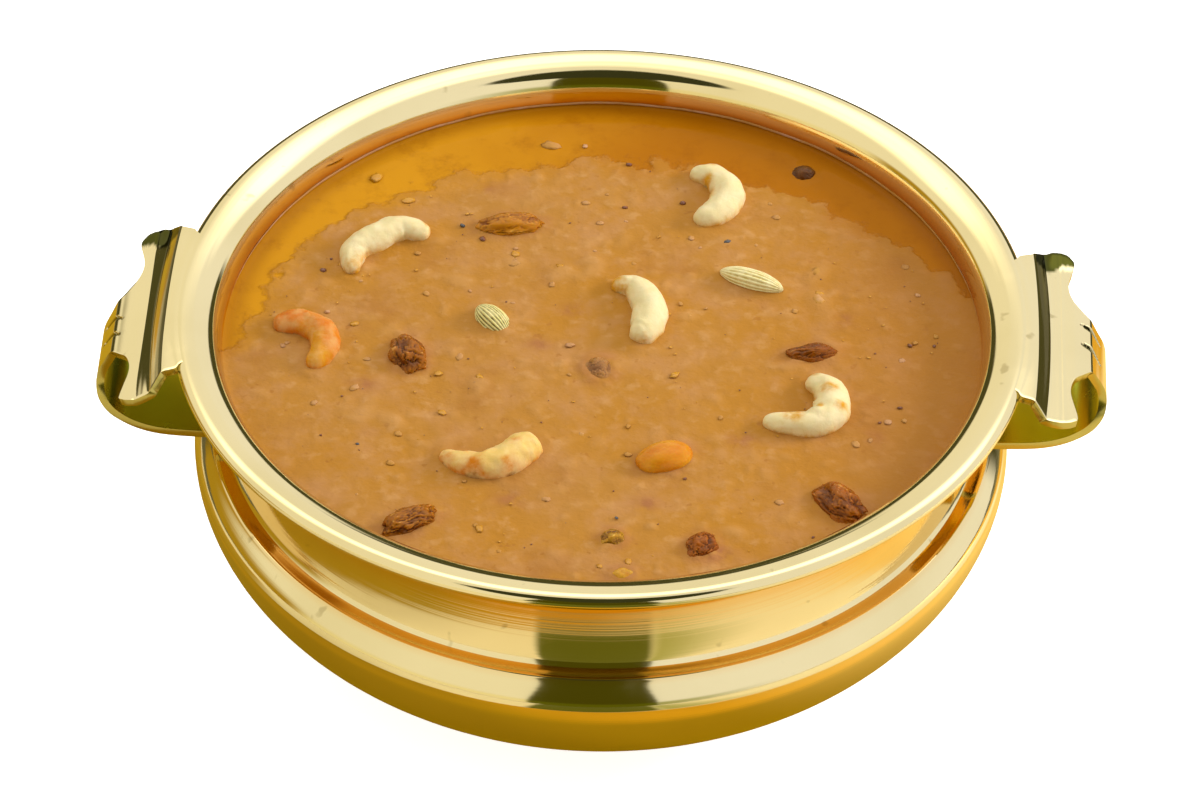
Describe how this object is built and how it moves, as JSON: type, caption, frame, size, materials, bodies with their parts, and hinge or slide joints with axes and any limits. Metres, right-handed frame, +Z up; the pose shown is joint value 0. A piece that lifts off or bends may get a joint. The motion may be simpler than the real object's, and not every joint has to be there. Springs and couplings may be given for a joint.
{
  "type": "sweet dessert bowl",
  "caption": "Wide turned brass serving bowl with rolled strap handles, filled with lentil and jaggery sweet under ghee, topped with fried cashews, raisins and cardamom pods.",
  "frame": {"origin": "middle of the bowl's flat base, on the surface that it stands on", "axes": "+Z up, +X from the left handle to the right handle as seen from the front, +Y to the back"},
  "size_m": [0.2594, 0.22, 0.09],
  "materials": {
    "brass_bowl": "polished, fine turning marks, small dark smudges on the lip",
    "brass_handle_left": "polished, hand-beaten, with cut leaf marks",
    "brass_handle_right": "polished, hand-beaten, with cut leaf marks",
    "payasam": null,
    "cashew_1": null,
    "cashew_2": null,
    "cashew_3": null,
    "cashew_4": null,
    "cashew_5": null,
    "cashew_6": null,
    "raisin_amber": null,
    "raisin_folded": null,
    "raisin_sunk": null,
    "raisin_flat": null,
    "raisin_front_left": null,
    "raisin_large": null,
    "raisin_front": null,
    "raisin_olive": null,
    "raisin_yellow": null,
    "raisin_in_ghee": null,
    "raisin_golden": null,
    "cardamom_green": null,
    "cardamom_pale": null
  },
  "bodies": {
    "root": {"bowl": "brass_bowl", "handle_left": "brass_handle_left", "handle_right": "brass_handle_right", "payasam": "payasam", "cashew_1": "cashew_1", "cashew_2": "cashew_2", "cashew_3": "cashew_3", "cashew_4": "cashew_4", "cashew_5": "cashew_5", "cashew_6": "cashew_6", "raisin_amber": "raisin_amber", "raisin_folded": "raisin_folded", "raisin_sunk": "raisin_sunk", "raisin_flat": "raisin_flat", "raisin_front_left": "raisin_front_left", "raisin_large": "raisin_large", "raisin_front": "raisin_front", "raisin_olive": "raisin_olive", "raisin_yellow": "raisin_yellow", "raisin_in_ghee": "raisin_in_ghee", "raisin_golden": "raisin_golden", "cardamom_green": "cardamom_green", "cardamom_pale": "cardamom_pale"}
  },
  "joints": []
}
